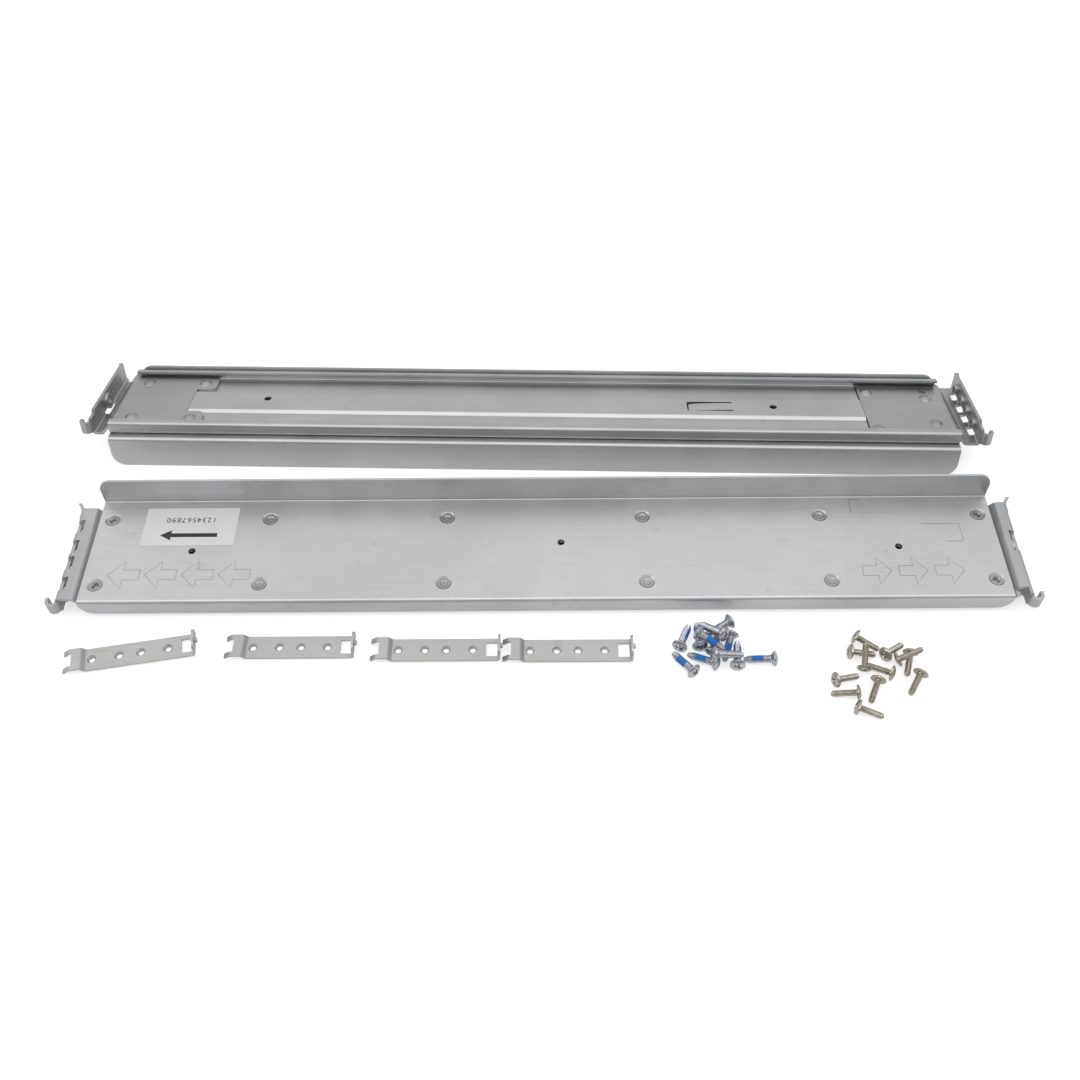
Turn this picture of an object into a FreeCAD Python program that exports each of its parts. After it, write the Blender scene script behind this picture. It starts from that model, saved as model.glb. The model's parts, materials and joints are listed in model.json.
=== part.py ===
import FreeCAD, Part
import os
from math import atan2, asin, cos, sin, tan, radians, degrees, hypot
from FreeCAD import Vector

os.makedirs("parts", exist_ok=True)

# ---------------------------------------------------------------- driving dimensions (mm, degrees)
# Each rail is drawn in its own frame: x runs from the front end of the web to the rear end,
# y runs across the web from the shelf corner to the lip, z runs away from the chassis side.

WEB_L = 565.0            # length of shelf plate and track
WEB_W = 79.2             # inner face of the shelf flange to outer face of the lip
SHEET_T = 1.5            # shelf plate, track and slide sheet
BEND_IN = 0.8            # inner bend radius of that sheet
FLANGE_H = 19.6          # shelf flange above the chassis face
LIP_H = 11.4             # lip below the chassis face
FLANGE_CORNER_R = 9.0
LIP_CORNER_R = 9.0
SMALL_HOLE_D = 4.6

RIVET_ROW_SPACING = 50.8
RIVET_FIRST_X = 8.4      # first and last rivet column from the web ends
RIVET_STEP_END = 100.0
RIVET_STEP_NEXT = 112.3
DIMPLE_D = 10.0
DIMPLE_HOLE_D = 6.6
TRACK_RIVET_HOLE_D = 4.6
RIVET_SHANK_D = 4.4
RIVET_BORE_D = 3.4       # bore of the hollow end rivets
RIVET_MOUTH = 0.8        # flare of that bore at the head
RIVET_SINK = 0.7         # head below the plate's outer face
RIVET_CLEAR = 0.2        # head inside its dimple
RIVET_DISH_D = 5.2
RIVET_DISH_SINK = 0.4

TRACK_CORNER_GAP = 4.0   # shelf corner to the track's side
TRACK_LIP_GAP = 2.2      # track's side to the outer face of the lip
TRACK_H = 8.6            # channel height above its seat on the shelf plate
TRACK_LIP = 5.4

SLIDE_GAP = 0.5          # side clearance of the slide in the track
SLIDE_FRONT_X = 57.5     # front end of the slide when pushed in
SLIDE_REAR_BACK = 4.0    # slide end to rear web end when pushed in
SLIDE_EDGE_H = 4.2       # height of the turned up slide edges
BAND_HALF_W = 11.2       # half width of the raised centre band
BAND_RISE = 2.0
BAND_CUT_GAP = 0.2       # end of the centre band to the rear bracket
SLIDE_HOLE_D = 5.0
SLIDE_HOLE_FRONT_X = 118.5
SLIDE_HOLE_REAR_BACK = 98.7
SLIDE_HOLE_OFF = 3.0     # the rear hole sits a little off the middle line
TONGUE_ROOT_X = 146.3
TONGUE_L = 29.7
TONGUE_W = 8.8
TONGUE_SLOT = 1.3
TONGUE_DROP = 1.3

BRACKET_T = 2.0
PLATE_EDGE_GAP = 0.9     # bracket plate to the bend of the slide edge
EAR_SHELF_INSET = 1.4    # ear inside the track's side by the shelf corner
EAR_LIP_INSET = 0.8      # ear inside the track's side by the lip
REAR_EAR_CUT = 4.4       # the rear ear stops short of its flange by the lip
EAR_DEPTH = 14.6         # flange edge below the chassis face
FRONT_EAR_OUT = 14.2     # flange outer face beyond the web end
REAR_EAR_OUT = 12.5
EAR_BEND_IN = 1.0
NECK_X = 0.45            # the plate widens to the ear this far outside the web end
FRONT_PLATE_IN = 56.5
REAR_PLATE_IN = 46.8
REAR_TAB_IN = 59.3
TAB_HALF_OPENING = 14.2
PLATE_RIVET_X0 = 11.2
PLATE_RIVET_X1 = 50.8
REAR_RIVET_SPACING = 44.45
FRONT_RIVET_WIDE = 46.0
FRONT_RIVET_NARROW = 31.75
HEAD_D = 8.4
HEAD_H = 1.7
PLATE_HOLE_D = 4.6
PLATE_SIDE_HOLE_Y = 24.5 # small hole beside the outer rivet, from the middle line

RACK_HOLE_SHIFT = 1.825  # middle of the rack holes towards the lip from the middle of the track
RACK_STEP_A = 15.875
RACK_STEP_B = 12.7
RACK_HOLE_Z = 8.0
COLLAR_D = 7.6
COLLAR_H = 2.2
FRONT_THREAD_D = 4.83    # 10-32
WINDOW_L = 9.8
WINDOW_IN = 9.0
WINDOW_DEPTH = 3.4
REAR_WINDOW_L = 15.4
REAR_WINDOW_IN = 7.9
REAR_COLLAR_D = 11.0
REAR_THREAD_D = 6.0
REAR_PIN_HOLE_D = 2.6
HOOK_R = 3.15            # middle radius of the curled hook
HOOK_Z0 = 2.6
HOOK_Z1 = 10.6
HOOK_REACH = 3.7         # hook beyond the end of the flange
FINGER_REACH = 6.6       # rounded finger beyond the other end
FINGER_FLARE = 4.2

STRIP_T = 1.2            # adapter strips
STRIP_W = 15.0
STRIP_L = 64.6
STRIP_FIRST_HOLE = 3.6
STRIP_THREAD_D = 3.9
STRIP_COLLAR_D = 6.0
STRIP_COLLAR_H = 1.2
STRIP_FLANGE_H = 8.6
STRIP_FORK_REACH = 12.4
STRIP_HUMP = 2.6
STRIP_FORK_W = 8.8       # slot of the fork
STRIP_FORK_END = 7.6     # foot of that slot from the origin of the strip
STRIP_WINDOW_W = 9.4     # window at the foot of the upright flange
STRIP_WINDOW_L = 6.7
STRIP_WINDOW_END = 1.9
STRIP_PIN_D = 3.0
STRIP_PIN_UP = 4.6

LABEL_L = 58.5
LABEL_W = 30.0
LABEL_T = 0.15
LABEL_X = 29.4
LABEL_Y = 6.2

# where the pieces lie on the table, before the set is centred
RIGHT_RAIL_AT = (-281.4, 475.0)
LEFT_RAIL_AT = (275.2, 510.5)
LEFT_RAIL_YAW = -1.54
STRIP_1_AT = (-271.7, 363.3, 9.5)
STRIP_2_AT = (-177.2, 371.4, 0.0)
STRIP_3_AT = (-90.4, 368.9, 0.0)
STRIP_PAIR_GAP = 1.5     # third strip's end to the fork of the fourth
STRIP_4_AT = (STRIP_3_AT[0] + STRIP_L + STRIP_FORK_REACH + STRIP_PAIR_GAP, 367.9, -0.1)

# screws flat on the table, in their heap: x and y of the top of the head, heading of the shank
HEAP_GAP = 51.3          # flange of the fourth strip to the middle of the first heap
HEAP_STEP = 86.5
PATCH_HEAP_AT = (STRIP_4_AT[0] + STRIP_L + HEAP_GAP, 367.0)
TRUSS_HEAP_AT = (PATCH_HEAP_AT[0] + HEAP_STEP, 361.5)
PATCH_FLAT = [(33.5, -7.4, 175.7), (9.8, 20.2, -151.1), (8.4, 11.7, -107.6), (-24.3, 0.1, 66.4),
              (-11.4, 0.0, 90.8), (9.3, -13.3, 83.9), (-15.5, -17.0, 127.4), (-1.1, -10.9, 154.1)]
TRUSS_FLAT = [(-6.2, 14.0, -30.2), (-11.2, 2.9, -2.5), (9.2, -0.4, 35.3), (26.3, 3.7, -107.1),
              (13.6, -13.1, 150.2), (4.1, -14.9, -114.6), (29.8, -10.8, -122.3), (-22.9, -16.9, 16.3),
              (-8.1, -25.0, 176.8), (-13.1, -34.0, -18.5)]
# screws leaning on others: x, y and height of the top of the head, heading, rise of the shank
PATCH_LEANING = [(-5.8, -4.2, 4.55, 65.9, 10.76), (-14.3, 8.0, 12.08, -36.2, -7.18),
                 (-6.8, -8.6, 12.91, 4.5, -12.23), (3.3, 3.0, 14.11, 138.4, -18.88)]
TRUSS_LEANING = [(-3.6, -10.4, 4.44, 80.1, 13.75), (16.1, -2.9, 3.57, 8.9, 31.71)]
PATCH_HEAD_D = 9.5
PATCH_HEAD_H = 4.2
PATCH_DOME_H = 1.7
PATCH_SHANK_D = 4.7
PATCH_L = 20.0
PATCH_POINT_L = 3.2      # tapered end of the thread
PATCH_POINT_D = 2.6
TRUSS_HEAD_D = 9.4
TRUSS_HEAD_H = 2.2
TRUSS_SHANK_D = 3.9
TRUSS_L = 17.0
RECESS_ARM_L = 5.0
RECESS_ARM_W = 1.0
RECESS_DEPTH = 1.2

# ---------------------------------------------------------------- derived levels and stations
BEND_OUT = BEND_IN + SHEET_T
PAST = 12.0                               # cutting tools run past the sheets to here
TRACK_Y0 = TRACK_CORNER_GAP
TRACK_Y1 = WEB_W - TRACK_LIP_GAP
MID_Y = (TRACK_Y0 + TRACK_Y1) / 2
ROWS_Y = [MID_Y - RIVET_ROW_SPACING / 2, MID_Y + RIVET_ROW_SPACING / 2]
EAR_V0 = TRACK_Y0 + EAR_SHELF_INSET
EAR_V1 = TRACK_Y1 - EAR_LIP_INSET
REAR_EAR_V1 = EAR_V1 - REAR_EAR_CUT
RIVET_XS = [RIVET_FIRST_X,
            RIVET_FIRST_X + RIVET_STEP_END,
            RIVET_FIRST_X + RIVET_STEP_END + RIVET_STEP_NEXT,
            WEB_L - RIVET_FIRST_X - RIVET_STEP_END - RIVET_STEP_NEXT,
            WEB_L - RIVET_FIRST_X - RIVET_STEP_END,
            WEB_L - RIVET_FIRST_X]
SMALL_HOLES = [(63.0, MID_Y), (WEB_L / 2 + 10.0, MID_Y - 5.0), (WEB_L - 63.0, MID_Y)]
FLOOR_Z = 2 * SHEET_T                     # running face inside the track
SLIDE_TOP_Z = FLOOR_Z + SHEET_T           # side bands of the slide
BAND_TOP_Z = SLIDE_TOP_Z + BAND_RISE
SLIDE_Y0 = TRACK_Y0 + SHEET_T + SLIDE_GAP
SLIDE_Y1 = TRACK_Y1 - SHEET_T - SLIDE_GAP
PLATE_Y0 = SLIDE_Y0 + BEND_OUT + PLATE_EDGE_GAP - BEND_IN
PLATE_Y1 = SLIDE_Y1 - BEND_OUT - PLATE_EDGE_GAP + BEND_IN
RACK_HOLE_Y0 = MID_Y + RACK_HOLE_SHIFT - RACK_STEP_A - RACK_STEP_B / 2
RACK_YS = [RACK_HOLE_Y0,
           RACK_HOLE_Y0 + RACK_STEP_A,
           RACK_HOLE_Y0 + RACK_STEP_A + RACK_STEP_B,
           RACK_HOLE_Y0 + 2 * RACK_STEP_A + RACK_STEP_B]


# ---------------------------------------------------------------- small helpers
def rounded_face(points, radii, place):
    """Closed outline of straight runs and corner arcs; place(a, b) gives the 3-D point."""
    count = len(points)
    starts, ends, mids = [], [], []
    for i in range(count):
        px, py = points[i]
        r = radii[i]
        ax, ay = points[i - 1]
        bx, by = points[(i + 1) % count]
        if r <= 0:
            starts.append((px, py))
            ends.append((px, py))
            mids.append(None)
            continue
        ux, uy = ax - px, ay - py
        wx, wy = bx - px, by - py
        lu, lw = hypot(ux, uy), hypot(wx, wy)
        ux, uy, wx, wy = ux / lu, uy / lu, wx / lw, wy / lw
        half = atan2(abs(ux * wy - uy * wx), ux * wx + uy * wy) / 2
        run = r / tan(half)
        sx, sy = ux + wx, uy + wy
        ls = hypot(sx, sy)
        cx, cy = px + sx / ls * r / sin(half), py + sy / ls * r / sin(half)
        starts.append((px + ux * run, py + uy * run))
        ends.append((px + wx * run, py + wy * run))
        mids.append((cx - sx / ls * r, cy - sy / ls * r))
    edges = []
    for i in range(count):
        if mids[i]:
            edges.append(Part.Arc(place(*starts[i]), place(*mids[i]), place(*ends[i])).toShape())
        a, b = ends[i], starts[(i + 1) % count]
        if hypot(a[0] - b[0], a[1] - b[1]) > 1e-6:
            edges.append(Part.makeLine(place(*a), place(*b)))
    return Part.Face(Part.Wire(edges))


def sheet_outline(middle, thick, bend_in):
    """Outline of a folded sheet of even thickness from the corners of its middle line."""
    left, right, turns = [], [], []
    last = len(middle) - 1
    for i, (x, y) in enumerate(middle):
        if i > 0:
            dx0, dy0 = x - middle[i - 1][0], y - middle[i - 1][1]
            l0 = hypot(dx0, dy0)
            dx0, dy0 = dx0 / l0, dy0 / l0
        if i < last:
            dx1, dy1 = middle[i + 1][0] - x, middle[i + 1][1] - y
            l1 = hypot(dx1, dy1)
            dx1, dy1 = dx1 / l1, dy1 / l1
        if i == 0:
            dx0, dy0 = dx1, dy1
        if i == last:
            dx1, dy1 = dx0, dy0
        nx, ny = -(dy0 + dy1), dx0 + dx1
        ln = hypot(nx, ny)
        nx, ny = nx / ln, ny / ln
        reach = thick / 2 / (nx * -dy0 + ny * dx0)
        left.append((x + nx * reach, y + ny * reach))
        right.append((x - nx * reach, y - ny * reach))
        turns.append(dx0 * dy1 - dy0 * dx1)
    points = left + right[::-1]
    radii = []
    for i, turn in enumerate(turns):
        radii.append(0 if i in (0, last) else (bend_in if turn > 0 else bend_in + thick))
    back = []
    for i, turn in enumerate(turns):
        back.append(0 if i in (0, last) else (bend_in + thick if turn > 0 else bend_in))
    return points, radii + back[::-1]


def sheet_solid(middle, thick, bend_in, place, along):
    points, radii = sheet_outline(middle, thick, bend_in)
    return rounded_face(points, radii, place).extrude(along)


def box(x0, x1, y0, y1, z0, z1):
    return Part.makeBox(x1 - x0, y1 - y0, z1 - z0, Vector(x0, y0, z0))


def pin_z(x, y, z0, z1, d):
    return Part.makeCylinder(d / 2, z1 - z0, Vector(x, y, z0), Vector(0, 0, 1))


def pin_x(x0, x1, y, z, d):
    return Part.makeCylinder(d / 2, x1 - x0, Vector(x0, y, z), Vector(1, 0, 0))


def round_edges(solid, radius, wanted):
    edges = [e for e in solid.Edges if wanted(e)]
    return solid.makeFillet(radius, edges)


def edge_at(edge, axis, a, b):
    """True for a straight edge running along axis through the two other coordinates."""
    first, second = edge.Vertexes[0].Point, edge.Vertexes[-1].Point
    keep = [i for i in range(3) if i != axis]
    run = abs(first[axis] - second[axis])
    near = all(abs(p[keep[0]] - a) < 0.02 and abs(p[keep[1]] - b) < 0.02 for p in (first, second))
    return run > 0.2 and near


def one(shapes):
    whole = shapes[0].multiFuse(shapes[1:]) if len(shapes) > 1 else shapes[0]
    return whole.removeSplitter()


def dome(x, y, z, d, h):
    """Rivet head: a low spherical cap standing on z."""
    r = (d * d / 4 + h * h) / (2 * h)
    ball = Part.makeSphere(r, Vector(x, y, z + h - r))
    return ball.common(box(x - d, x + d, y - d, y + d, z, z + 2 * h))


# ---------------------------------------------------------------- fixed pieces of a rail
def shelf_plate():
    half = SHEET_T / 2
    middle = [(-half, -FLANGE_H), (-half, half), (WEB_W - half, half), (WEB_W - half, LIP_H)]
    plate = sheet_solid(middle, SHEET_T, BEND_IN, lambda a, b: Vector(0, a, b), Vector(WEB_L, 0, 0))
    plate = round_edges(plate, FLANGE_CORNER_R, lambda e: edge_at(e, 1, 0, -FLANGE_H)
                        or edge_at(e, 1, WEB_L, -FLANGE_H))
    plate = round_edges(plate, LIP_CORNER_R, lambda e: edge_at(e, 1, 0, LIP_H)
                        or edge_at(e, 1, WEB_L, LIP_H))
    cuts = []
    for x in RIVET_XS:
        for y in ROWS_Y:
            cuts.append(Part.makeCone(DIMPLE_D / 2, DIMPLE_HOLE_D / 2, SHEET_T, Vector(x, y, 0)))
    for x, y in SMALL_HOLES:
        cuts.append(pin_z(x, y, -1, SHEET_T + 1, SMALL_HOLE_D))
    return plate.cut(cuts)


def track():
    half = SHEET_T / 2
    y0, y1 = TRACK_Y0 + half, TRACK_Y1 - half
    z0, z1 = SHEET_T + half, SHEET_T + TRACK_H - half
    middle = [(TRACK_Y0 + TRACK_LIP, z1), (y0, z1), (y0, z0), (y1, z0), (y1, z1),
              (TRACK_Y1 - TRACK_LIP, z1)]
    channel = sheet_solid(middle, SHEET_T, BEND_IN, lambda a, b: Vector(0, a, b), Vector(WEB_L, 0, 0))
    cuts = []
    for x in RIVET_XS:
        for y in ROWS_Y:
            cuts.append(pin_z(x, y, SHEET_T - 1, FLOOR_Z + 1, TRACK_RIVET_HOLE_D))
    for x, y in SMALL_HOLES:
        cuts.append(pin_z(x, y, SHEET_T - 1, FLOOR_Z + 1, SMALL_HOLE_D))
    for x, y in front_rivet_spots():
        cuts.append(pin_z(x, y, SHEET_T - 1, FLOOR_Z + 1, PLATE_HOLE_D))
    return channel.cut(cuts)


def web_rivet(x, y, hollow):
    """Flush rivet: a cone head sunk in the dimple and a shank set flush in the track floor."""
    sunk = RIVET_SINK / SHEET_T
    wall = DIMPLE_D / 2 * (1 - sunk) + DIMPLE_HOLE_D / 2 * sunk
    head_low = DIMPLE_HOLE_D / 2 - RIVET_CLEAR
    head = Part.makeCone(wall - RIVET_CLEAR, head_low, SHEET_T - RIVET_SINK, Vector(x, y, RIVET_SINK))
    shank = pin_z(x, y, SHEET_T - 0.2, FLOOR_Z - 0.05, RIVET_SHANK_D)
    body = head.fuse(shank).removeSplitter()
    bore = RIVET_BORE_D / 2
    if hollow:
        mouth = Part.makeCone(bore + RIVET_MOUTH, bore, RIVET_MOUTH, Vector(x, y, RIVET_SINK))
        return body.cut([mouth, pin_z(x, y, 0, FLOOR_Z - 0.45, RIVET_BORE_D)])
    dish = Part.makeCone(RIVET_DISH_D / 2, RIVET_DISH_D / 2 - 0.7, RIVET_DISH_SINK, Vector(x, y, RIVET_SINK))
    return body.cut(dish)


def end_rivets():
    return [web_rivet(x, y, True) for x in (RIVET_XS[0], RIVET_XS[-1]) for y in ROWS_Y]


def web_rivets():
    return [web_rivet(x, y, False) for x in RIVET_XS[1:-1] for y in ROWS_Y]


# ---------------------------------------------------------------- slide
def slide():
    half = SHEET_T / 2
    z_low, z_high = FLOOR_Z + half, BAND_TOP_Z - half
    foot = BAND_HALF_W + BAND_RISE - half * tan(radians(22.5))
    crown = BAND_HALF_W - half * tan(radians(22.5))
    edge_z = FLOOR_Z + SLIDE_EDGE_H
    y0, y1 = SLIDE_Y0 + half, SLIDE_Y1 - half
    x1 = WEB_L - SLIDE_REAR_BACK
    middle = [(y0, edge_z), (y0, z_low), (MID_Y - foot, z_low), (MID_Y - crown, z_high),
              (MID_Y + crown, z_high), (MID_Y + foot, z_low), (y1, z_low), (y1, edge_z)]
    points, radii = sheet_outline(middle, SHEET_T, BEND_IN)
    radii = [min(r, 1.2) if 2 < i % 8 < 6 or i in (2, 10) else r for i, r in enumerate(radii)]
    face = rounded_face(points, radii, lambda a, b: Vector(SLIDE_FRONT_X, a, b))
    bar = face.extrude(Vector(x1 - SLIDE_FRONT_X, 0, 0))
    band_end = WEB_L - REAR_PLATE_IN - BAND_CUT_GAP
    wide = BAND_HALF_W + BAND_RISE + 0.4
    cuts = [box(band_end, WEB_L + 1, MID_Y - wide, MID_Y + wide, 0, PAST)]
    tip = TONGUE_ROOT_X + TONGUE_L
    side = TONGUE_W / 2 + TONGUE_SLOT
    for sign in (-1, 1):
        ya, yb = MID_Y + sign * TONGUE_W / 2, MID_Y + sign * side
        cuts.append(box(TONGUE_ROOT_X, tip, min(ya, yb), max(ya, yb), 0, PAST))
    cuts.append(box(TONGUE_ROOT_X, tip + TONGUE_SLOT, MID_Y - side, MID_Y + side, 0, PAST))
    cuts.append(pin_z(SLIDE_HOLE_FRONT_X, MID_Y, 0, PAST, SLIDE_HOLE_D))
    cuts.append(pin_z(WEB_L - SLIDE_HOLE_REAR_BACK, MID_Y + SLIDE_HOLE_OFF, 0, PAST, SLIDE_HOLE_D))
    for x, y in rear_rivet_spots():
        cuts.append(pin_z(x, y, 0, PAST, PLATE_HOLE_D))
    bar = bar.cut(cuts)
    tongue_mid = [(TONGUE_ROOT_X - 0.5, z_high), (TONGUE_ROOT_X + 6, z_high),
                  (tip - 5, z_high - TONGUE_DROP * 0.5), (tip, z_high - TONGUE_DROP)]
    low_y = MID_Y - TONGUE_W / 2
    tongue = sheet_solid(tongue_mid, SHEET_T, 3.0, lambda a, b: Vector(a, low_y, b),
                         Vector(0, TONGUE_W, 0))
    return one([bar, tongue])


# ---------------------------------------------------------------- brackets with ears
def front_rivet_spots():
    spots = []
    for x, spread in ((PLATE_RIVET_X0, FRONT_RIVET_NARROW), (PLATE_RIVET_X1, FRONT_RIVET_WIDE)):
        for sign in (-1, 1):
            spots.append((x, MID_Y + sign * spread / 2))
    return spots


def rear_rivet_spots():
    spots = []
    for x in (WEB_L - PLATE_RIVET_X0, WEB_L - PLATE_RIVET_X1):
        for sign in (-1, 1):
            spots.append((x, MID_Y + sign * REAR_RIVET_SPACING / 2))
    return spots


def ear_section(plate_in, plate_z, out):
    """Plate in the track, a stepped bend past the web end, the ear and its flange."""
    half = BRACKET_T / 2
    fall = plate_z
    run = fall * 0.9
    x0 = 1.3
    middle = [(-plate_in, plate_z + half), (x0, plate_z + half), (x0 + run, half),
              (out - half, half), (out - half, EAR_DEPTH)]
    points, radii = sheet_outline(middle, BRACKET_T, EAR_BEND_IN)
    face = rounded_face(points, radii, lambda a, b: Vector(-a, EAR_V0, b))
    return face.extrude(Vector(0, EAR_V1 - EAR_V0, 0))


def hook(out, hook_at_lip):
    """Strip off the flange end that curls outwards and back."""
    mid_x = out - BRACKET_T / 2
    sign = 1 if hook_at_lip else -1
    root = EAR_V1 if hook_at_lip else EAR_V0
    far = root + sign * (HOOK_REACH - BRACKET_T / 2)
    middle = [(-mid_x, root - sign * 6), (-mid_x, far), (-mid_x - 2 * HOOK_R, far),
              (-mid_x - 2 * HOOK_R, far - sign * (HOOK_R + 2.6))]
    inner = HOOK_R - BRACKET_T / 2 - 0.02
    strip = sheet_solid(middle, BRACKET_T, inner, lambda a, b: Vector(a, b, HOOK_Z0),
                        Vector(0, 0, HOOK_Z1 - HOOK_Z0))
    tip_x = -mid_x - 2 * HOOK_R
    tip_y = far - sign * (HOOK_R + 2.6)
    return strip.cut(box(tip_x - 3, tip_x + 3, tip_y - 0.6, tip_y + 0.6, HOOK_Z1 - 1.2, HOOK_Z1 + 1))


def finger(out, hook_at_lip):
    """Rounded end of the flange, flared a little outwards."""
    mid_x = out - BRACKET_T / 2
    sign = -1 if hook_at_lip else 1
    root = EAR_V0 if hook_at_lip else EAR_V1
    tip = root + sign * FINGER_REACH
    middle = [(-mid_x, root - sign * 7), (-mid_x, root - sign * 0.5), (-mid_x - FINGER_FLARE, tip)]
    blade = sheet_solid(middle, BRACKET_T, 2.0, lambda a, b: Vector(a, b, 1.2),
                        Vector(0, 0, EAR_DEPTH - 1.2))
    a, b = root - sign * 7, tip + sign * 3
    outline = [(a, 1.2), (tip - sign * 0.4, 1.2), (tip - sign * 0.4, EAR_DEPTH - 2.0), (a, EAR_DEPTH)]
    mask = rounded_face(outline, [0, 2.0, 6.0, 0], lambda p, q: Vector(-out - 12, p, q))
    return blade.common(mask.extrude(Vector(24, 0, 0)))


def front_bracket(hook_at_lip):
    body = ear_section(FRONT_PLATE_IN, FLOOR_Z, FRONT_EAR_OUT)
    out = FRONT_EAR_OUT
    cuts = [box(-NECK_X, WEB_L, 0, PLATE_Y0 - 0.6, 0, PAST),
            box(-NECK_X, WEB_L, PLATE_Y1 + 0.6, WEB_W + PAST, 0, PAST)]
    for y in RACK_YS:
        cuts.append(box(-out - 1, -WINDOW_IN, y - WINDOW_L / 2, y + WINDOW_L / 2, -1, WINDOW_DEPTH))
    cuts += flange_end_step(out, hook_at_lip)
    body = body.cut(cuts)
    inside = -(out - BRACKET_T)
    collars = [pin_x(inside - 0.3, inside + COLLAR_H, y, RACK_HOLE_Z, COLLAR_D) for y in RACK_YS]
    body = one([body, hook(out, hook_at_lip), finger(out, hook_at_lip)] + collars)
    holes = [pin_x(-out - 1, inside + COLLAR_H + 1, y, RACK_HOLE_Z, FRONT_THREAD_D) for y in RACK_YS]
    holes += [pin_z(x, y, 0, PAST, PLATE_HOLE_D) for x, y in front_rivet_spots()]
    holes.append(pin_z(PLATE_RIVET_X0, MID_Y + PLATE_SIDE_HOLE_Y, 0, PAST, SMALL_HOLE_D))
    return body.cut(holes)


def flange_end_step(out, hook_at_lip):
    """The flange edge steps back just before the hook."""
    sign = 1 if hook_at_lip else -1
    end = EAR_V1 if hook_at_lip else EAR_V0
    ramp = [(end - sign * 8.5, EAR_DEPTH + 1), (end - sign * 7.0, 12.2), (end + sign * 1, 12.2),
            (end + sign * 1, EAR_DEPTH + 1)]
    face = rounded_face(ramp, [0, 0, 0, 0], lambda p, q: Vector(-out - 1, p, q))
    return [face.extrude(Vector(BRACKET_T + 2, 0, 0))]


def rear_bracket(hook_at_lip):
    """Drawn like the front one, then turned end for end onto the rear of the slide."""
    out = REAR_EAR_OUT
    body = ear_section(REAR_TAB_IN, SLIDE_TOP_Z, out)
    cuts = [box(-NECK_X, WEB_L, 0, PLATE_Y0, 0, PAST),
            box(-NECK_X, WEB_L, PLATE_Y1, WEB_W + PAST, 0, PAST)]
    opening = box(REAR_PLATE_IN, WEB_L, MID_Y - TAB_HALF_OPENING, MID_Y + TAB_HALF_OPENING, 0, PAST)
    cuts.append(opening)
    y = RACK_YS[1]
    cuts.append(box(-out - 1, -REAR_WINDOW_IN, y - REAR_WINDOW_L / 2, y + REAR_WINDOW_L / 2,
                    -1, WINDOW_DEPTH))
    cuts.append(box(-out + BRACKET_T + EAR_BEND_IN, -1.0, REAR_EAR_V1, WEB_W + PAST, -1,
                    BRACKET_T + 1))
    cuts += flange_end_step(out, hook_at_lip)
    body = body.cut(cuts)
    tab_ends = [e for e in body.Edges if edge_near_z(e, REAR_TAB_IN)]
    body = body.makeFillet(5.0, tab_ends)
    inside = -(out - BRACKET_T)
    collar = pin_x(inside - 0.3, inside + COLLAR_H, y, RACK_HOLE_Z, REAR_COLLAR_D)
    body = one([body, hook(out, hook_at_lip), finger(out, hook_at_lip), collar])
    holes = [pin_x(-out - 1, inside + COLLAR_H + 1, y, RACK_HOLE_Z, REAR_THREAD_D)]
    holes += [pin_x(-out - 1, inside + 1, q, RACK_HOLE_Z, REAR_PIN_HOLE_D) for q in RACK_YS[2:]]
    for x, q in rear_rivet_spots():
        holes.append(pin_z(WEB_L - x, q, 0, PAST, PLATE_HOLE_D))
    body = body.cut(holes)
    return body.mirror(Vector(WEB_L / 2, 0, 0), Vector(1, 0, 0))


def edge_near_z(edge, x):
    """Short upright edges at the tab ends."""
    first, second = edge.Vertexes[0].Point, edge.Vertexes[-1].Point
    upright = abs(first.z - second.z) > 0.5 and abs(first.y - second.y) < 0.01
    return upright and abs(first.x - x) < 0.02 and abs(second.x - x) < 0.02


def head_rivet(x, y, z_low, z_plate):
    shank = pin_z(x, y, z_low, z_plate + 0.2, RIVET_SHANK_D)
    return dome(x, y, z_plate, HEAD_D, HEAD_H).fuse(shank).removeSplitter()


def front_rivets():
    top = FLOOR_Z + BRACKET_T
    return [head_rivet(x, y, SHEET_T + 0.05, top) for x, y in front_rivet_spots()]


def rear_rivets():
    top = SLIDE_TOP_Z + BRACKET_T
    return [head_rivet(x, y, FLOOR_Z + 0.05, top) for x, y in rear_rivet_spots()]


def label():
    return box(LABEL_X, LABEL_X + LABEL_L, LABEL_Y, LABEL_Y + LABEL_W, -LABEL_T, 0)


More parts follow.
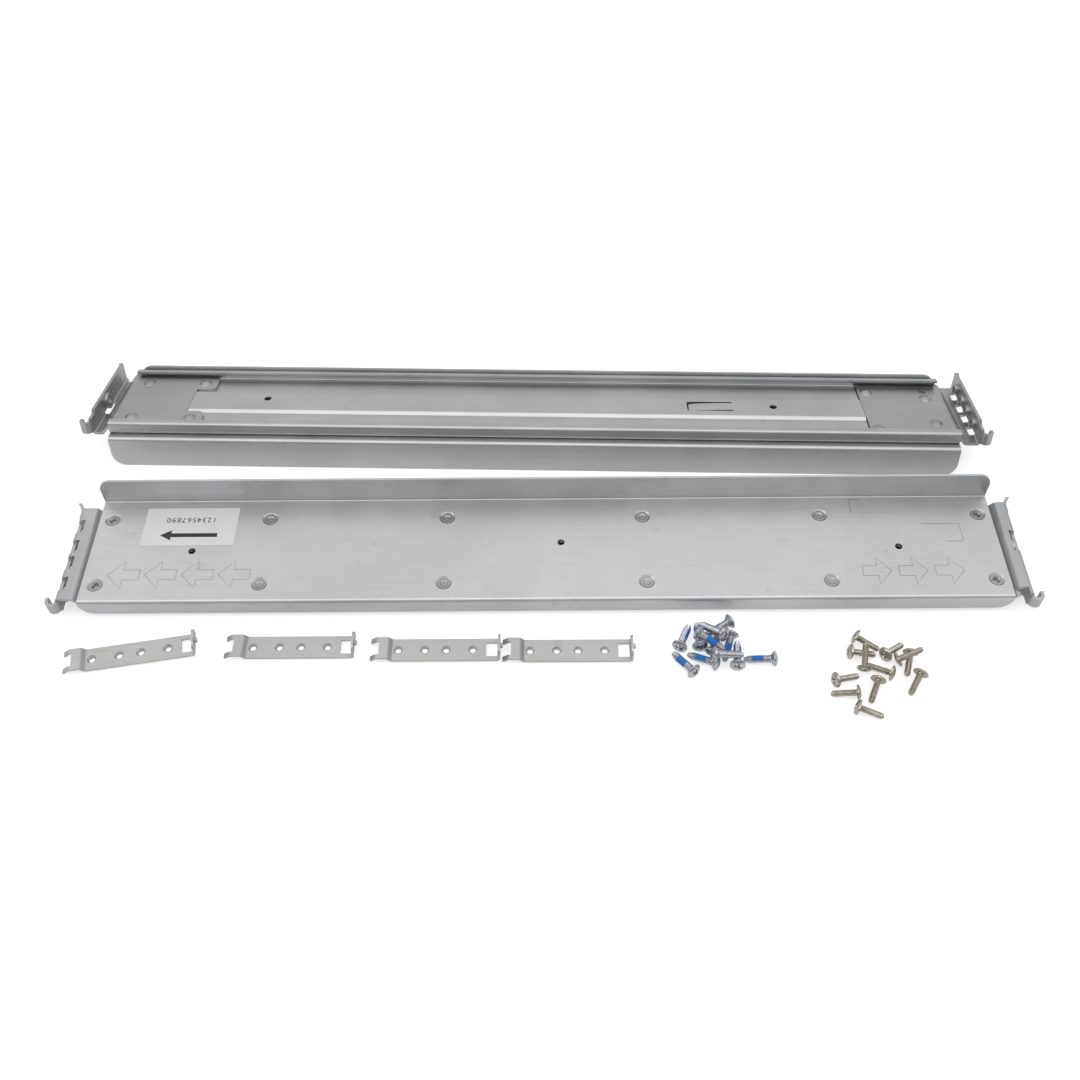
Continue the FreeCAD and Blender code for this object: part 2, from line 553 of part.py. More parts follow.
# ---------------------------------------------------------------- adapter strips and screws
def adapter():
    """Strip with a forked, humped end, four drawn threads and an upright flange."""
    half = STRIP_T / 2
    low = STRIP_COLLAR_H + half
    high = low + STRIP_HUMP
    wide = STRIP_W / 2
    middle = [(-STRIP_FORK_REACH, low + 0.2), (-9.0, high), (-2.6, high), (0.0, low),
              (STRIP_L - half, low), (STRIP_L - half, low + STRIP_FLANGE_H)]
    body = sheet_solid(middle, STRIP_T, 1.0, lambda a, b: Vector(a, -wide, b), Vector(0, STRIP_W, 0))
    top = low + STRIP_FLANGE_H
    body = round_edges(body, 4.5, lambda e: edge_at(e, 0, -wide, top) or edge_at(e, 0, wide, top))
    slot, window = STRIP_FORK_W / 2, STRIP_WINDOW_W / 2
    window_x = STRIP_L - STRIP_WINDOW_END
    cuts = [box(-STRIP_FORK_REACH - 1, -STRIP_FORK_END, -slot, slot, 0, PAST),
            box(window_x - STRIP_WINDOW_L, window_x, -window, window, 0, low + half + 0.4)]
    body = body.cut(cuts)
    xs = [STRIP_FIRST_HOLE + q - RACK_HOLE_Y0 for q in RACK_YS]
    collars = [pin_z(x, 0, 0, low, STRIP_COLLAR_D) for x in xs]
    pin = pin_x(STRIP_L - 0.5, STRIP_L + 1.5, 0, low + STRIP_PIN_UP, STRIP_PIN_D)
    body = one([body, pin] + collars)
    holes = []
    for x in xs:
        holes.append(pin_z(x, 0, -1, 6, STRIP_THREAD_D))
        holes.append(Part.makeCone(STRIP_THREAD_D / 2, STRIP_THREAD_D / 2 + 0.8, 0.8,
                                   Vector(x, 0, low + half - 0.8)))
    return body.cut(holes)


def recess():
    """Cross slot in the head."""
    long, wide = RECESS_ARM_L / 2, RECESS_ARM_W / 2
    arm = box(-long, long, -wide, wide, -1, RECESS_DEPTH)
    cross = box(-wide, wide, -long, long, -1, RECESS_DEPTH)
    return arm.fuse(cross)


def patch_outline():
    """Oval countersunk screw from the top of the head along the axis: radius, distance."""
    r, q, dome = PATCH_HEAD_D / 2, PATCH_SHANK_D / 2, PATCH_DOME_H
    return [(0, 0), (r * 0.4, dome * 0.10), (r * 0.7, dome * 0.35), (r * 0.9, dome * 0.7), (r, dome),
            (r, dome + 0.4), (q, PATCH_HEAD_H), (q, PATCH_L - PATCH_POINT_L),
            (PATCH_POINT_D / 2, PATCH_L), (0, PATCH_L)]


def truss_outline():
    """Low domed screw with a flat seat under the head."""
    r, q = TRUSS_HEAD_D / 2, TRUSS_SHANK_D / 2
    return [(0, 0), (r * 0.4, 0.12), (r * 0.75, 0.6), (r * 0.93, 1.2), (r, TRUSS_HEAD_H - 0.3),
            (r - 0.2, TRUSS_HEAD_H), (q, TRUSS_HEAD_H), (q, TRUSS_L - 0.8), (q - 0.6, TRUSS_L),
            (0, TRUSS_L)]


def screw(outline):
    wire = Part.makePolygon([Vector(a, 0, b) for a, b in outline + outline[:1]])
    return Part.Face(wire).revolve(Vector(0, 0, 0), Vector(0, 0, 1), 360).cut(recess())


def lay(piece, x, y, z, heading, rise):
    copy = piece.copy()
    copy.rotate(Vector(0, 0, 0), Vector(0, 1, 0), 90 - rise)
    copy.rotate(Vector(0, 0, 0), Vector(0, 0, 1), heading)
    copy.translate(Vector(x, y, z))
    return copy


def heap(outline, at, flat, leaning):
    """Flat screws touch the table with the rim of the head and the end of the shank."""
    piece = screw(outline)
    rim = max(outline)
    fall = min((rim[0] - r) / (s - rim[1]) for r, s in outline if s > rim[1] + 5)
    angle = atan2(fall, 1)
    height = rim[0] * cos(angle) + rim[1] * sin(angle)
    lying = [lay(piece, at[0] + x, at[1] + y, height, turn, -degrees(angle)) for x, y, turn in flat]
    return lying + [lay(piece, at[0] + x, at[1] + y, z, turn, rise) for x, y, z, turn, rise in leaning]


# ---------------------------------------------------------------- laying the pieces out
def lay_right_rail(shape):
    """Chassis face up, front end to the left, resting on the ear flanges."""
    copy = shape.copy()
    copy.rotate(Vector(0, 0, 0), Vector(1, 0, 0), 180)
    copy.translate(Vector(RIGHT_RAIL_AT[0], RIGHT_RAIL_AT[1], EAR_DEPTH))
    return copy


def left_rail_tilt():
    """Leaning on the edge of the shelf flange and the lip bend."""
    across, up = WEB_W - BEND_OUT, BEND_OUT + FLANGE_H
    return degrees(atan2(up, across) - asin(BEND_OUT / hypot(across, up)))


def lay_left_rail(shape):
    """The mirrored rail, outside up, front end to the right."""
    copy = shape.mirror(Vector(0, 0, 0), Vector(1, 0, 0))
    tilt = left_rail_tilt()
    copy.rotate(Vector(0, 0, 0), Vector(1, 0, 0), -tilt)
    copy.rotate(Vector(0, 0, 0), Vector(0, 0, 1), LEFT_RAIL_YAW)
    copy.translate(Vector(LEFT_RAIL_AT[0], LEFT_RAIL_AT[1], FLANGE_H * cos(radians(tilt))))
    return copy


def group(solids):
    return solids[0] if len(solids) == 1 else Part.makeCompound(solids)


def rail_pieces(hook_at_lip):
    return {
        "shelf_plate": [shelf_plate()],
        "track": [track()],
        "end_rivets": end_rivets(),
        "web_rivets": web_rivets(),
        "slide": [slide()],
        "rear_bracket": [rear_bracket(hook_at_lip)],
        "rear_rivets": rear_rivets(),
        "front_bracket": [front_bracket(hook_at_lip)],
        "front_rivets": front_rivets(),
    }


nodes = {}
for name, solids in rail_pieces(True).items():
    nodes["right_" + name] = [lay_right_rail(s) for s in solids]
nodes["right_label"] = [lay_right_rail(label())]
for name, solids in rail_pieces(False).items():
    nodes["left_" + name] = [lay_left_rail(s) for s in solids]
for number, (x, y, heading) in enumerate((STRIP_1_AT, STRIP_2_AT, STRIP_3_AT, STRIP_4_AT), 1):
    strip = adapter()
    strip.rotate(Vector(0, 0, 0), Vector(0, 0, 1), heading)
    strip.translate(Vector(x, y, 0))
    nodes["adapter_%d" % number] = [strip]
nodes["patch_screws"] = heap(patch_outline(), PATCH_HEAP_AT, PATCH_FLAT, PATCH_LEANING)
nodes["truss_screws"] = heap(truss_outline(), TRUSS_HEAP_AT, TRUSS_FLAT, TRUSS_LEANING)

whole = Part.makeCompound([s for solids in nodes.values() for s in solids]).BoundBox
shift = Vector(-(whole.XMin + whole.XMax) / 2, -(whole.YMin + whole.YMax) / 2, -whole.ZMin)
for name, solids in nodes.items():
    shape = group(solids)
    shape.translate(shift)
    shape.exportStep("parts/%s.step" % name)
    parts = len(shape.Solids)
    print(name, "solids", parts, "volume %.1f" % shape.Volume, "valid", shape.isValid())
print("shift", shift)
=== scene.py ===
# %% [markdown]
# # A pair of sliding server rails, laid out with their small parts
# The real thing is zinc plated sheet steel: two long shelf rails that mirror each other, four thin
# adapter strips and two small heaps of screws, all lying on a white table.
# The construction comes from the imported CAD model, so this script never moves or reshapes it. It
# gives every surface a finish and adds what is too fine for CAD: threads, print and stamped lines.

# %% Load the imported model
import json
import math

import bmesh
import bpy
import numpy as np
from mathutils import Matrix, Vector


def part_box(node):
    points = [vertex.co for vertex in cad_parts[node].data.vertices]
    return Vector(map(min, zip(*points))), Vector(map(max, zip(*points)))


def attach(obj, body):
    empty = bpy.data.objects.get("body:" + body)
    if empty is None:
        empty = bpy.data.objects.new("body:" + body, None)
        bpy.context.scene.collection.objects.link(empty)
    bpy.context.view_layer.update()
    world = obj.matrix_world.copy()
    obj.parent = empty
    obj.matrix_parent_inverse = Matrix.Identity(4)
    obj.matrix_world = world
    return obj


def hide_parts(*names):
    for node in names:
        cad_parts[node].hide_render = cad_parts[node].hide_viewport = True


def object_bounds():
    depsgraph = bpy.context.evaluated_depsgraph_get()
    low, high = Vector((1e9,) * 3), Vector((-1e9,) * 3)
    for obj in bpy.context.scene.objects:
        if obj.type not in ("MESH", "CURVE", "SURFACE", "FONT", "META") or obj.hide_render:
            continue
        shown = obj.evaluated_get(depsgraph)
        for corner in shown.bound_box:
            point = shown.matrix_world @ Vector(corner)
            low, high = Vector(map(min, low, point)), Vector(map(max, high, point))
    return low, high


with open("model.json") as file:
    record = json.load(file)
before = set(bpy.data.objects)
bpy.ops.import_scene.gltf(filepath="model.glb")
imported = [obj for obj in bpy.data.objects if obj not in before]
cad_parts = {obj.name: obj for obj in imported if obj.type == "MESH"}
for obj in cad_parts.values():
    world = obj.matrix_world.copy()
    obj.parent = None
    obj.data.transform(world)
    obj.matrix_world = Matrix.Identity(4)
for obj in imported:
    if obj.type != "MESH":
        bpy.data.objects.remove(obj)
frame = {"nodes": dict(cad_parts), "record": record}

CAD_LOW, CAD_HIGH = [list(corner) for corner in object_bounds()]
MM = 0.001
nodes = frame["nodes"]
bodies = {node: body for body, members in frame["record"]["behaviour"]["bodies"].items() for node in members}
print("nodes:", len(nodes), "size in mm:", [round((b - a) / MM, 1) for a, b in zip(CAD_LOW, CAD_HIGH)])

# %% [markdown]
# ## Where things are
# The right rail lies square to the table with its chassis side up, so the corner where its web
# meets the shelf flange is a handy zero: x runs to the rear ear, y towards the lip. The left rail
# is mirrored, tipped and turned a little. One small matrix carries the right rail's measurements to
# the table, and the camera and the stamped marks are placed from that corner.

# %% Right rail frame from the boxes of the CAD nodes
WEB_LENGTH = 565.0 * MM
SHEET = 1.5 * MM
EAR_DEPTH = 14.6 * MM
FLANGE_HEIGHT = 19.6 * MM
plate_low, plate_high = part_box("right_shelf_plate")
ear_low, ear_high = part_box("right_front_bracket")
RIGHT_CORNER = Vector((plate_low[0], plate_high[1] - SHEET, ear_low[2] + EAR_DEPTH))
RIGHT_RAIL = Matrix.Translation(RIGHT_CORNER) @ Matrix.Rotation(math.pi, 4, "X")
print("right rail corner (mm):", [round(c / MM, 2) for c in RIGHT_CORNER])

# %% [markdown]
# ## The camera
# A small camera on a stand looks down on the table at about fifty degrees, with a lens a little
# longer than normal. Its place is measured from the right rail's corner, so that the view stays
# the same if the set is moved. A camera looks along its own -Z, so its matrix is built from three
# directions: right, up and backwards.

# %% Camera
CAMERA_FROM_CORNER = Vector((281.4, -475.0, 569.6)) * MM
CAMERA_PITCH, CAMERA_ROLL, CAMERA_YAW = (math.radians(a) for a in (52.228, -0.595, -0.259))
LENS_MM = 38.45


def camera_matrix(pitch, roll, yaw, place):
    forward = Vector((math.sin(yaw) * math.cos(pitch), math.cos(yaw) * math.cos(pitch), -math.sin(pitch)))
    level = Vector((math.cos(yaw), -math.sin(yaw), 0))
    upright = level.cross(forward)
    right = level * math.cos(roll) + upright * math.sin(roll)
    up = upright * math.cos(roll) - level * math.sin(roll)
    turn = Matrix((right, up, -forward)).transposed().to_4x4()
    return Matrix.Translation(place) @ turn


camera_data = bpy.data.cameras.new("stand_camera")
camera_data.lens = LENS_MM
camera_data.sensor_width = 36
camera_data.clip_start = 0.01
camera = bpy.data.objects.new("stand_camera", camera_data)
bpy.context.scene.collection.objects.link(camera)
camera.matrix_world = camera_matrix(CAMERA_PITCH, CAMERA_ROLL, CAMERA_YAW, RIGHT_CORNER + CAMERA_FROM_CORNER)
bpy.context.scene.camera = camera
print("camera at (mm):", [round(c / MM) for c in camera.location])

# %% [markdown]
# ## A short way to write shader nodes
# Every finish below is a node tree. Wiring nodes by hand takes three lines for each link, so one
# small class keeps a tree and adds a node with its settings and inputs in a single call. An input
# may be a number, a colour or the output of another node. Numbers that are the same all over a
# surface go straight onto the shader's socket.

# %% Node helper


class Tree:
    def __init__(self, owner):
        owner.use_nodes = True
        self.nodes, self.links = owner.node_tree.nodes, owner.node_tree.links
        self.nodes.clear()

    def add(self, kind, inputs=None, **settings):
        node = self.nodes.new("ShaderNode" + kind)
        for key, value in settings.items():
            setattr(node, key, value)
        for key, value in (inputs or {}).items():
            self.put(node.inputs[key], value)
        return node

    def put(self, socket, value):
        if hasattr(value, "links") or hasattr(value, "is_output"):
            self.links.new(value, socket)
        else:
            socket.default_value = value

    def math(self, operation, *values, clamp=False):
        node = self.add("Math", operation=operation, use_clamp=clamp)
        for socket, value in zip(node.inputs, values):
            self.put(socket, value)
        return node.outputs[0]

    def ramp(self, factor, stops, ease="LINEAR"):
        node = self.add("ValToRGB", {"Fac": factor})
        node.color_ramp.interpolation = ease
        marks = node.color_ramp.elements
        while len(marks) < len(stops):
            marks.new(1)
        for mark, (place, tone) in zip(marks, stops):
            mark.position = place
            mark.color = tone if len(tone) == 4 else (*tone, 1)
        return node.outputs[0]

    def noise(self, place, scale, detail=3, rough=0.55):
        inputs = {"Vector": place, "Scale": scale, "Detail": detail, "Roughness": rough}
        return self.add("TexNoise", inputs).outputs["Fac"]

    def graded(self, value, span, result):
        """A smooth change from one result to the other while value crosses span."""
        inputs = {"Value": value, "From Min": span[0], "From Max": span[1],
                  "To Min": result[0], "To Max": result[1]}
        return self.add("MapRange", inputs, interpolation_type="SMOOTHSTEP").outputs[0]

    def stretched(self, place, factors, turn=0.0):
        inputs = {"Vector": place, "Scale": factors, "Rotation": (0, 0, turn)}
        return self.add("Mapping", inputs).outputs[0]

    def mix(self, factor, a, b, blend="MIX"):
        node = self.add("Mix", data_type="RGBA", blend_type=blend)
        self.put(node.inputs[0], factor)
        self.put(node.inputs[6], a)
        self.put(node.inputs[7], b)
        return node.outputs[2]


def grey(value, warm=0.0):
    """A grey with a small lean to warm or cool."""
    return (value * (1 + warm), value, value * (1 - warm), 1)


# %% [markdown]
# ## Table, backdrop and light
# The set lies on a seamless white sweep under soft light. The sweep is a plain matt surface with a
# little glow that only the camera and reflections see: lit parts then reach full white, while the
# soft shadows under the rails stay. Flat zinc shows whatever it mirrors, so the room itself sets its
# tones: bright overhead, paler grey low behind the set and darker low in front of it. The one strong
# lamp hangs straight above, where no flat face mirrors it to the camera and only the bends catch it.

# %% Floor and world
FLOOR_SIZE = 6.0
CAMERA_GLOW, MIRROR_GLOW = 0.60, 0.22
LOW_FRONT, LOW_BACK, OVERHEAD = 0.34, 0.72, 1.02


def sweep_material():
    material = bpy.data.materials.new("white_sweep")
    tree = Tree(material)
    path = tree.add("LightPath").outputs
    mirrored = tree.math("MAXIMUM", path["Is Glossy Ray"], path["Is Transmission Ray"])
    glow_value = tree.math("ADD", tree.math("MULTIPLY", path["Is Camera Ray"], CAMERA_GLOW),
                           tree.math("MULTIPLY", mirrored, MIRROR_GLOW))
    matt = tree.add("BsdfDiffuse", {"Color": grey(0.62)})
    glow = tree.add("Emission", {"Color": (1, 1, 1, 1), "Strength": glow_value})
    both = tree.add("AddShader")
    tree.links.new(matt.outputs[0], both.inputs[0])
    tree.links.new(glow.outputs[0], both.inputs[1])
    tree.add("OutputMaterial", {"Surface": both.outputs[0]})
    return material


def make_floor():
    mesh = bpy.data.meshes.new("white_sweep")
    half = FLOOR_SIZE / 2
    mesh.from_pydata([(-half, -half, 0), (half, -half, 0), (half, half, 0), (-half, half, 0)], [], [(0, 1, 2, 3)])
    floor = bpy.data.objects.new("white_sweep", mesh)
    floor.location.z = CAD_LOW[2] - 0.0002
    bpy.context.scene.collection.objects.link(floor)
    mesh.materials.append(sweep_material())


def make_world():
    world = bpy.data.worlds.new("bright_room")
    bpy.context.scene.world = world
    tree = Tree(world)
    direction = tree.add("TexCoord").outputs["Generated"]
    parts = tree.add("SeparateXYZ", {"Vector": direction}).outputs
    low = tree.graded(parts["Y"], (-0.6, 0.6), (LOW_FRONT, LOW_BACK))
    rise = tree.graded(parts["Z"], (0.45, 0.92), (0.0, 1.0))
    value = tree.math("MULTIPLY_ADD", tree.math("SUBTRACT", OVERHEAD, low), rise, low)
    room = tree.add("CombineColor", {"Red": value, "Green": value, "Blue": value}).outputs[0]
    path = tree.add("LightPath").outputs
    seen = tree.mix(path["Is Camera Ray"], room, (1, 1, 1, 1))
    back = tree.add("Background", {"Color": seen, "Strength": 1.0})
    tree.add("OutputWorld", {"Surface": back.outputs[0]})


make_floor()
make_world()
bpy.context.scene.view_settings.view_transform = "Standard"

# %% Lamps


def soft_lamp(name, place, size, watts, aim=(0, 0, 0)):
    data = bpy.data.lights.new(name, "AREA")
    data.shape = "RECTANGLE"
    data.size, data.size_y = size
    data.energy = watts
    lamp = bpy.data.objects.new(name, data)
    lamp.location = place
    lamp.rotation_euler = (Vector(aim) - Vector(place)).to_track_quat("-Z", "Y").to_euler()
    bpy.context.scene.collection.objects.link(lamp)
    return lamp


soft_lamp("top_softbox", (0.0, -0.35, 1.65), (1.8, 0.5), 3.4, aim=(0, 0, 0))
soft_lamp("left_softbox", (-1.5, -0.2, 1.1), (0.8, 0.8), 3.4)
soft_lamp("right_softbox", (1.5, -0.3, 1.0), (0.8, 0.8), 1.4)

# %% [markdown]
# ## Zinc plated steel
# Zinc plating is a thin grey metal skin. Close up it has a fine even grain, long faint lines from
# the rolling mill, cloudy patches a few centimetres wide from handling and washing, and a few
# hair scratches and stains. The base colour carries the clouds, the roughness carries the grain and the lines,
# and a very low bump keeps reflections from being mirror clean. Object coordinates are used, so
# the pattern has its real size and doesn't need a UV map.

# %% Zinc finish
MATERIALS = {}


def metal_shader(tree, colour, rough, bump, specular_tint=None):
    inputs = {"Base Color": colour, "Roughness": rough, "Metallic": 1.0, "Normal": bump}
    shader = tree.add("BsdfPrincipled", inputs)
    tree.add("OutputMaterial", {"Surface": shader.outputs[0]})
    return shader


def zinc(name, dark, light, rough=0.34, lines=0.05, grain_turn=0.0, warm=-0.012):
    """Plated sheet: dark and light are the tones that the clouds run between."""
    material = bpy.data.materials.new(name)
    tree = Tree(material)
    place = tree.add("TexCoord").outputs["Object"]
    along = tree.stretched(place, (1, 60, 60), grain_turn)
    clouds = tree.noise(place, 26, 4, 0.6)
    patches = tree.noise(place, 9, 2, 0.5)
    rolled = tree.noise(along, 16, 3, 0.7)
    speck = tree.noise(place, 1900, 2, 0.6)
    both = tree.math("MULTIPLY_ADD", patches, 0.5, tree.math("MULTIPLY", clouds, 0.5))
    colour = tree.ramp(both, [(0.38, grey(dark, warm)), (0.5, grey((dark + light) / 2, warm)),
                              (0.62, grey(light, warm))])
    streak = tree.ramp(rolled, [(0.30, grey(0.90)), (0.5, grey(1.0)), (0.72, grey(0.96))])
    colour = tree.mix(1.0, colour, streak, "MULTIPLY")
    grainy = tree.ramp(speck, [(0.35, grey(0.93)), (0.65, grey(1.0))])
    colour = tree.mix(1.0, colour, grainy, "MULTIPLY")
    hair = tree.stretched(place, (7, 90, 40), grain_turn + 0.35)
    scratch = tree.ramp(tree.noise(hair, 9, 5, 0.75), [(0.70, (0, 0, 0)), (0.735, (1, 1, 1))])
    colour = tree.mix(tree.math("MULTIPLY", scratch, 0.16), colour, grey(min(light * 1.25, 0.95), warm))
    stain = tree.ramp(tree.noise(place, 41, 5, 0.7), [(0.62, (0, 0, 0)), (0.72, (1, 1, 1))])
    colour = tree.mix(tree.math("MULTIPLY", stain, 0.34), colour, grey(dark * 0.62, warm))
    rough_value = tree.math("ADD", rough - 0.09, tree.math("MULTIPLY", rolled, 0.10))
    rough_value = tree.math("ADD", rough_value, tree.math("MULTIPLY", clouds, 0.08))
    rough_value = tree.math("SUBTRACT", rough_value, tree.math("MULTIPLY", scratch, 0.05), clamp=True)
    height = tree.math("MULTIPLY_ADD", speck, 0.35, tree.math("MULTIPLY", rolled, lines * 12))
    bump = tree.add("Bump", {"Strength": 0.10, "Distance": 0.00006, "Height": height})
    metal_shader(tree, colour, rough_value, bump.outputs[0])
    MATERIALS[name] = material
    return material


zinc("zinc_shelf", 0.61, 0.69, rough=0.42)
zinc("zinc_shelf_left", 0.58, 0.66, rough=0.42, grain_turn=0.027)
zinc("zinc_track", 0.50, 0.58, rough=0.38)
zinc("zinc_slide", 0.54, 0.62, rough=0.38)
zinc("zinc_bracket", 0.46, 0.53, rough=0.38)
zinc("zinc_ear", 0.47, 0.56, rough=0.40)
# Rivet zinc, darkened with painted shade that stands in for the shade in the dimple rings and bores.
zinc("zinc_rivet_painted_shade", 0.34, 0.46, rough=0.30)
zinc("zinc_strip", 0.53, 0.60, rough=0.46, warm=0.008)
# Stamped lines: zinc much darker than the web, painted shade that stands in for the shade in a pressed groove.
zinc("stamped_line_painted_shade", 0.27, 0.34, rough=0.5)
print("finishes so far:", sorted(MATERIALS))

# %% [markdown]
# ## Dressing the CAD pieces
# The CAD meshes have hard flat facets. Smooth shading with a crease angle makes the bends round
# and keeps cut edges sharp. A tiny bevel modifier then rounds every cut edge by a tenth of a
# millimetre, as a tumbled stamping is, so that each edge catches a thin line of light.

# %% Smooth, bevel and finish for the CAD nodes
EDGE_ROUND = 0.12 * MM
CREASE = math.radians(28)


def dress(node, material, bevel=True):
    piece = nodes[node]
    mesh = piece.data
    mesh.materials.clear()
    mesh.materials.append(MATERIALS[material])
    mesh.shade_smooth()
    mesh.set_sharp_from_angle(angle=CREASE)
    if bevel:
        weld = piece.modifiers.new("flat_faces", "DECIMATE")
        weld.decimate_type = "DISSOLVE"
        weld.angle_limit = math.radians(0.6)
        soft = piece.modifiers.new("cut_edges", "BEVEL")
        soft.width = EDGE_ROUND
        soft.segments = 2
        soft.limit_method = "ANGLE"
        soft.angle_limit = math.radians(50)
        soft.harden_normals = True
        soft.use_clamp_overlap = True


for side in ("right", "left"):
    dress(side + "_shelf_plate", "zinc_shelf" if side == "right" else "zinc_shelf_left")
    dress(side + "_track", "zinc_track")
    dress(side + "_slide", "zinc_slide")
    for end in ("front", "rear"):
        dress("%s_%s_bracket" % (side, end), "zinc_ear" if side == "right" else "zinc_bracket")
        dress("%s_%s_rivets" % (side, end), "zinc_rivet_painted_shade", bevel=False)
    dress(side + "_end_rivets", "zinc_rivet_painted_shade", bevel=False)
    dress(side + "_web_rivets", "zinc_rivet_painted_shade", bevel=False)
for number in range(1, 5):
    dress("adapter_%d" % number, "zinc_strip")

# %% [markdown]
# ## The label
# One white paper label is stuck on the chassis side, near the front. It says which end is the
# front, so here it carries a plain arrow that points to the front ear, and a row of numerals. Both
# are thin flat pieces that lie on the paper: ink has no thickness, but a real gap of a few
# hundredths of a millimetre keeps two faces from fighting for the same pixels.

# %% Paper and ink


def paper(name, value):
    material = bpy.data.materials.new(name)
    tree = Tree(material)
    place = tree.add("TexCoord").outputs["Object"]
    fibre = tree.noise(place, 900, 4, 0.7)
    cloud = tree.noise(place, 60, 2, 0.5)
    both = tree.math("MULTIPLY_ADD", fibre, 0.4, tree.math("MULTIPLY", cloud, 0.6))
    colour = tree.ramp(both, [(0.3, (value * 0.93, value * 0.925, value * 0.95)),
                              (0.7, (value, value * 0.99, value * 1.02))])
    bump = tree.add("Bump", {"Strength": 0.15, "Distance": 0.00004, "Height": fibre})
    shader = tree.add("BsdfPrincipled", {"Base Color": colour, "Roughness": 0.55, "Normal": bump.outputs[0]})
    tree.add("OutputMaterial", {"Surface": shader.outputs[0]})
    MATERIALS[name] = material


def ink(name, value):
    material = bpy.data.materials.new(name)
    tree = Tree(material)
    place = tree.add("TexCoord").outputs["Object"]
    uneven = tree.noise(place, 1500, 3, 0.6)
    colour = tree.ramp(uneven, [(0.35, grey(value)), (0.7, grey(value * 2.2))])
    shader = tree.add("BsdfPrincipled", {"Base Color": colour, "Roughness": 0.45})
    tree.add("OutputMaterial", {"Surface": shader.outputs[0]})
    MATERIALS[name] = material


paper("label_paper", 0.72)
ink("label_ink", 0.012)
dress("right_label", "label_paper", bevel=False)
label_low, label_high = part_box("right_label")
print("label (mm):", [round((b - a) / MM, 2) for a, b in zip(label_low, label_high)])

# %% Arrow and numerals on the label
PRINT_LIFT = 0.02 * MM
FIXED = "set_on_table"


def flat_shape(name, points, height, material):
    """A closed outline, filled, a hair thick and lying at height. Its points are in table metres."""
    mesh = bpy.data.meshes.new(name)
    shape = bmesh.new()
    corners = [shape.verts.new((x, y, height)) for x, y in points]
    face = shape.faces.new(corners)
    if face.normal.z < 0:
        face.normal_flip()
    lifted = bmesh.ops.extrude_face_region(shape, geom=[face])["geom"]
    bmesh.ops.translate(shape, vec=(0, 0, PRINT_LIFT), verts=[g for g in lifted if isinstance(g, bmesh.types.BMVert)])
    bmesh.ops.recalc_face_normals(shape, faces=shape.faces)
    shape.to_mesh(mesh)
    shape.free()
    mesh.materials.append(MATERIALS[material])
    piece = bpy.data.objects.new(name, mesh)
    bpy.context.scene.collection.objects.link(piece)
    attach(piece, FIXED)
    return piece


def arrow_points(tip, length, width, shaft, head):
    """Outline of a block arrow that points along -X from its tail; tip is (x, y)."""
    x, y = tip
    return [(x, y), (x + head, y + width / 2), (x + head, y + shaft / 2), (x + length, y + shaft / 2),
            (x + length, y - shaft / 2), (x + head, y - shaft / 2), (x + head, y - width / 2)]


label_top = label_high[2]
label_mid_x = (label_low[0] + label_high[0]) / 2
arrow_tip = (label_mid_x - 18 * MM, label_low[1] + 8.2 * MM)
label_arrow = flat_shape("label_arrow", arrow_points(arrow_tip, 36 * MM, 8 * MM, 3 * MM, 7 * MM),
                         label_top + PRINT_LIFT, "label_ink")


def numerals(name, text, size, middle, height, material):
    curve = bpy.data.curves.new(name, "FONT")
    curve.body = text
    curve.size = size
    curve.space_character = 1.15
    curve.align_x, curve.align_y = "CENTER", "CENTER"
    curve.extrude = PRINT_LIFT / 2
    curve.resolution_u = 3
    holder = bpy.data.objects.new(name + "_text", curve)
    mesh = bpy.data.meshes.new_from_object(holder)
    mesh.name = name
    bpy.data.objects.remove(holder)
    mesh.materials.append(MATERIALS[material])
    piece = bpy.data.objects.new(name, mesh)
    piece.matrix_world = Matrix.Translation((middle[0], middle[1], height)) @ Matrix.Rotation(math.pi, 4, "Z")
    bpy.context.scene.collection.objects.link(piece)
    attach(piece, FIXED)
    return piece


numerals("label_numerals", "1234567890", 5.6 * MM, (label_mid_x, label_high[1] - 9.5 * MM),
         label_top + 1.5 * PRINT_LIFT, "label_ink")
print("label print height above the paper (mm):", PRINT_LIFT / MM)

# %% [markdown]
# ## Stamped marks
# Large outlined marks are pressed into the web at both ends to tell the two ends apart. Plain
# arrows stand in for them: four point to the front ear and three to the rear one. Each is a closed
# curve with a small round bevel. Half of the bevel lies under the metal and the rest is squashed
# flat, which leaves a raised line a third of a millimetre wide with a lit and a shaded side.

# The lines are finished in a zinc much darker than the web: painted shade standing in for the shade in a pressed
# groove.
# %% Arrow outlines and corner marks on the right web
LINE_RADIUS = 0.22 * MM
LINE_FLATTEN = 0.22


def stamped_line_painted_shade(name, points, closed=True):
    """points are (x, y) in the right rail's own frame, in millimetres."""
    curve = bpy.data.curves.new(name, "CURVE")
    curve.dimensions = "3D"
    line = curve.splines.new("POLY")
    line.points.add(len(points) - 1)
    for point, (x, y) in zip(line.points, points):
        place = RIGHT_RAIL @ Vector((x * MM, y * MM, 0))
        point.co = (place.x, place.y, 0, 1)
    line.use_cyclic_u = closed
    curve.bevel_depth = LINE_RADIUS
    curve.bevel_resolution = 1
    curve.use_fill_caps = True
    holder = bpy.data.objects.new(name + "_curve", curve)
    mesh = bpy.data.meshes.new_from_object(holder)
    mesh.name = name
    bpy.data.objects.remove(holder)
    mesh.transform(Matrix.Translation((0, 0, RIGHT_CORNER.z)) @ Matrix.Diagonal((1, 1, LINE_FLATTEN, 1)))
    # Dark finish: painted shade for the pressed groove.
    mesh.materials.append(MATERIALS["stamped_line_painted_shade"])
    mesh.shade_smooth()
    piece = bpy.data.objects.new(name, mesh)
    bpy.context.scene.collection.objects.link(piece)
    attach(piece, FIXED)
    return piece


